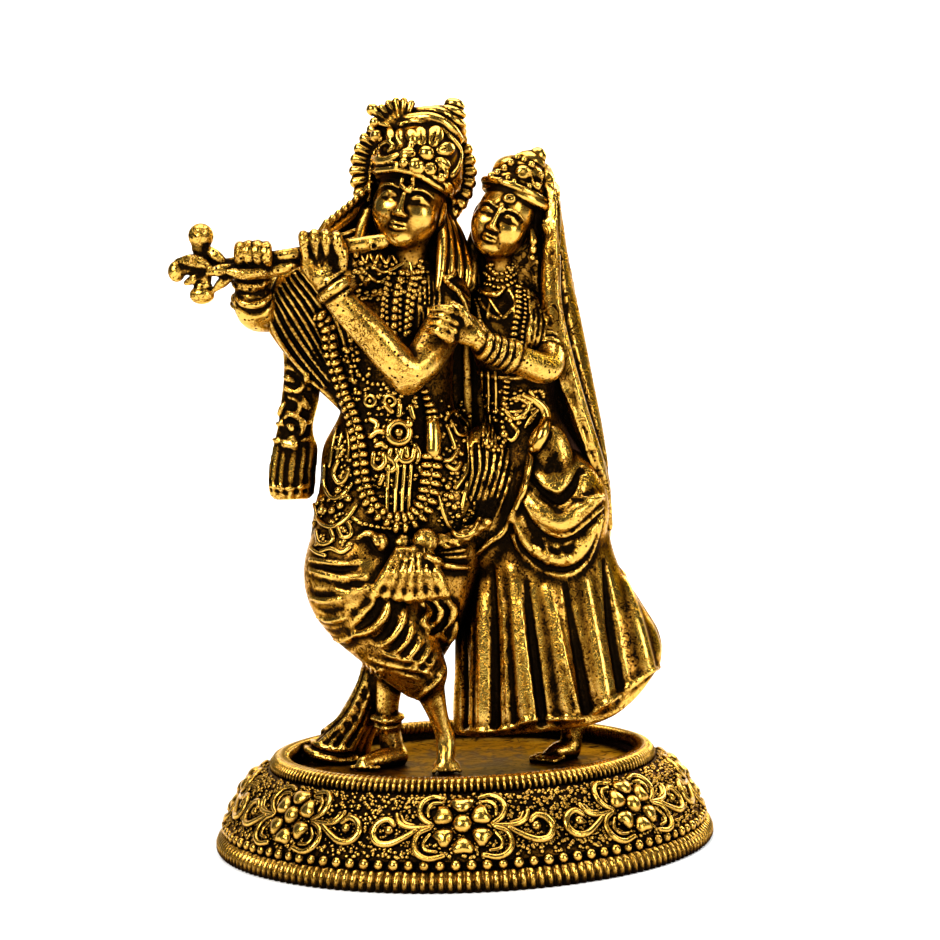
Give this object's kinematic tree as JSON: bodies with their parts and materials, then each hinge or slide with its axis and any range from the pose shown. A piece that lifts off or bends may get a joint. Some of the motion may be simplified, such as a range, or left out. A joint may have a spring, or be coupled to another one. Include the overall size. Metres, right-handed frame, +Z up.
{
  "type": "radha krishna statuette",
  "caption": "Small cast-metal statuette of Krishna playing the flute with Radha leaning at his side, on a round ornamented plinth.",
  "frame": {"origin": "centre of the plinth's flat underside, where the statuette stands", "axes": "+Z up, -Y towards the front of the figures, +X to the viewer's right, so that the flute points towards -X"},
  "size_m": [0.0857, 0.0824, 0.1226],
  "materials": {
    "figures": "antique polished gold with black patina in the recesses",
    "plinth": "antique gold with black patina in the recesses"
  },
  "bodies": {
    "root": {"figures": "figures", "plinth": "plinth"}
  },
  "joints": []
}
